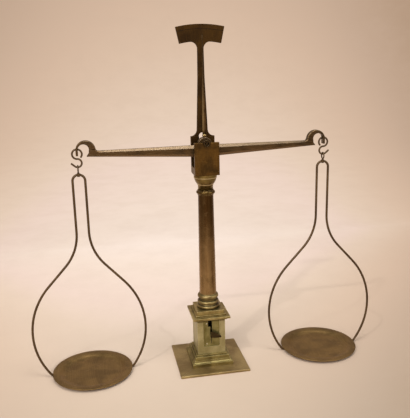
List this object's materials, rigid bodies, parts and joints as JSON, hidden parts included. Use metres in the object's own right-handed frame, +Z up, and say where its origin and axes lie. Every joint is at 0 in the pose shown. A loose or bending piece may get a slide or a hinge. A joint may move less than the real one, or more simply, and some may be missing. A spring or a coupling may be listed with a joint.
{
  "type": "balance scale",
  "caption": "Column balance with a square pedestal, lift lever, turned column, forked head with an index plate, swan-neck beam and flat pans hung in pear-shaped wire loops.",
  "frame": {"origin": "on the column's axis, on the table under the base plate", "axes": "+X to the right along the beam seen from the front, -Y the front with the lift lever, +Z up"},
  "size_m": [0.5032, 0.1132, 0.48],
  "materials": {
    "base_bronze": "dull brown bronze patina with worn edges",
    "die_brass": "aged olive brass, brushed and tarnished",
    "column_bronze": "dark brown patinated brass, semi-gloss",
    "head_bronze": "very dark brown patina, satin",
    "beam_bronze": "dark brown patina with bright worn bevels",
    "wire_bronze": "dull dark brass wire",
    "pan_bronze": "matt brown beaten sheet, darker rim",
    "needle_brass": "dark brass, filed facets",
    "worn_steel": "aged steel, dull grey-brown"
  },
  "bodies": {
    "stand": {"base_plate": "base_bronze", "base_screws": "worn_steel", "plinth": "base_bronze", "plinth_cap": "base_bronze", "pedestal_die": "die_brass", "slot_plate": "die_brass", "lever_guide": "head_bronze", "guide_rivets": "die_brass", "lever_pin": "worn_steel", "cornice": "die_brass", "cornice_screws": "worn_steel", "column_block": "die_brass", "column_foot": "column_bronze", "column_nut": "worn_steel", "lower_bush": "die_brass", "column_tube": "column_bronze", "neck_ring": "column_bronze", "capital": "column_bronze", "upper_bush": "die_brass"},
    "lever": {"lift_lever": "head_bronze"},
    "head": {"lift_rod": "worn_steel", "fork_base": "head_bronze", "front_cheek": "head_bronze", "index_plate": "head_bronze", "cheek_screws": "worn_steel", "head_screw": "worn_steel", "front_bearing": "worn_steel", "back_bearing": "worn_steel"},
    "balance_beam": {"beam": "beam_bronze", "knife_edge": "worn_steel", "needle": "needle_brass", "needle_nut": "needle_brass"},
    "left_hook_link": {"left_hook": "wire_bronze"},
    "left_eye_link": {"left_eye": "wire_bronze"},
    "left_hanger": {"left_loop": "wire_bronze", "left_pan": "pan_bronze"},
    "right_hook_link": {"right_hook": "wire_bronze"},
    "right_eye_link": {"right_eye": "wire_bronze"},
    "right_hanger": {"right_loop": "wire_bronze", "right_pan": "pan_bronze"}
  },
  "joints": [
    {"name": "head_lift", "type": "slide", "parent": "stand", "child": "head", "axis": [0, 0, 1], "range_m": [0, 0.00585]},
    {"name": "lever_swing", "type": "hinge", "parent": "stand", "child": "lever", "pos_m": [0, 0.0132, 0.0559], "axis": [-1, 0, 0], "range_deg": [0, 25]},
    {"name": "beam_rock", "type": "hinge", "parent": "head", "child": "balance_beam", "pos_m": [0, 0, 0.3222], "axis": [0, 1, 0], "range_deg": [-2, 2]},
    {"name": "left_hook_swing", "type": "hinge", "parent": "balance_beam", "child": "left_hook_link", "pos_m": [-0.1712, 0, 0.3222], "axis": [0, 1, 0], "range_deg": [-10, 10]},
    {"name": "left_eye_swing", "type": "hinge", "parent": "left_hook_link", "child": "left_eye_link", "pos_m": [-0.1712, 0, 0.29965], "axis": [1, 0, 0], "range_deg": [-15, 15]},
    {"name": "left_pan_swivel", "type": "hinge", "parent": "left_eye_link", "child": "left_hanger", "pos_m": [-0.1712, 0, 0.2895], "axis": [0, 0, 1], "continuous": true},
    {"name": "right_hook_swing", "type": "hinge", "parent": "balance_beam", "child": "right_hook_link", "pos_m": [0.1712, 0, 0.3222], "axis": [0, 1, 0], "range_deg": [-10, 10]},
    {"name": "right_eye_swing", "type": "hinge", "parent": "right_hook_link", "child": "right_eye_link", "pos_m": [0.1712, 0, 0.29965], "axis": [1, 0, 0], "range_deg": [-15, 15]},
    {"name": "right_pan_swivel", "type": "hinge", "parent": "right_eye_link", "child": "right_hanger", "pos_m": [0.1712, 0, 0.2895], "axis": [0, 0, 1], "continuous": true}
  ],
  "couplings": [
    {"joint": "lever_swing", "follows": "head_lift", "rad_per_m": 74.548}
  ]
}
